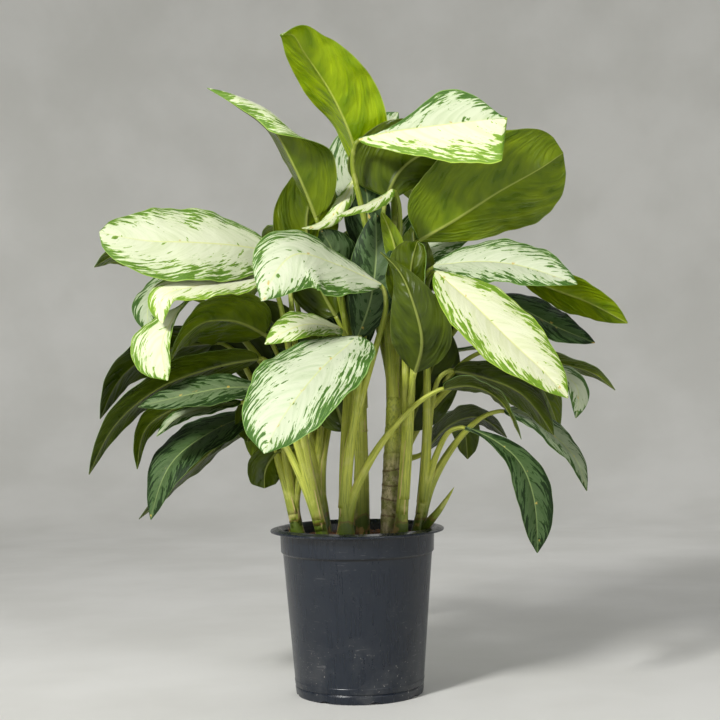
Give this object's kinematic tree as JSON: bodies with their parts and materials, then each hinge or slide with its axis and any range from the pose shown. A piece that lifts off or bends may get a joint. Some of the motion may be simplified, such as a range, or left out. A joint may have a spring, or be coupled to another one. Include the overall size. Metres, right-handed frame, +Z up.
{
  "type": "potted chinese evergreen",
  "caption": "Bushy potted plant with long stalked, silver-green variegated leaves in a round tapered plastic nursery pot, standing on its flat base.",
  "frame": {"origin": "middle of the pot's flat underside, on the surface it stands on", "axes": "+Z up along the pot's axis, -Y towards the plant's front as pictured, +X to its right in that view"},
  "size_m": [0.7218, 0.5505, 0.8952],
  "materials": {
    "leaf": "satin, silver-green with dark green streaks",
    "stalk": "satin yellow-green",
    "pot": "satin slate with dusty scuffs",
    "soil": "rough"
  },
  "bodies": {
    "root": {"pot": "pot", "soil": "soil", "shoot_left_outer": "stalk", "shoot_left_front": "stalk", "shoot_front_fan": "stalk", "shoot_centre": "stalk", "shoot_cane": "stalk", "shoot_right_front": "stalk", "shoot_right_outer": "stalk", "shoot_back_left": "stalk", "shoot_back_right": "stalk", "leaf_crown_tall": "leaf", "leaf_crown_left": "leaf", "leaf_crown_olive": "leaf", "leaf_crown_folded": "leaf", "leaf_crown_under": "leaf", "leaf_right_broad": "leaf", "leaf_curl_left": "leaf", "leaf_curl_right": "leaf", "leaf_centre_pale": "leaf", "leaf_centre_rolled": "leaf", "leaf_centre_olive": "leaf", "leaf_back_pale": "leaf", "leaf_back_silver": "leaf", "leaf_inner_dark": "leaf", "leaf_front_low": "leaf", "leaf_front_high": "leaf", "leaf_left_big": "leaf", "leaf_left_mid": "leaf", "leaf_left_hook": "leaf", "leaf_left_olive": "leaf", "leaf_inner_pale": "leaf", "leaf_left_tip": "leaf", "leaf_left_silver": "leaf", "leaf_low_fern": "leaf", "leaf_low_long": "leaf", "leaf_low_blade": "leaf", "leaf_low_hanging": "leaf", "leaf_low_small": "leaf", "leaf_low_drooping": "leaf", "leaf_low_behind": "leaf", "leaf_right_upper": "leaf", "leaf_right_tip": "leaf", "leaf_right_front": "leaf", "leaf_right_long": "leaf", "leaf_right_drooping": "leaf", "leaf_right_dark": "leaf", "leaf_right_edge": "leaf", "leaf_right_back_high": "leaf", "leaf_right_back_low": "leaf", "leaf_right_pale": "leaf", "leaf_rear_left": "leaf", "leaf_rear_left_high": "leaf", "leaf_rear_middle": "leaf", "leaf_rear_right_high": "leaf", "leaf_rear_right": "leaf", "leaf_rear_low_left": "leaf", "leaf_rear_low_right": "leaf", "leaf_rear_crown": "leaf", "leaf_rear_crown_left": "leaf"}
  },
  "joints": []
}
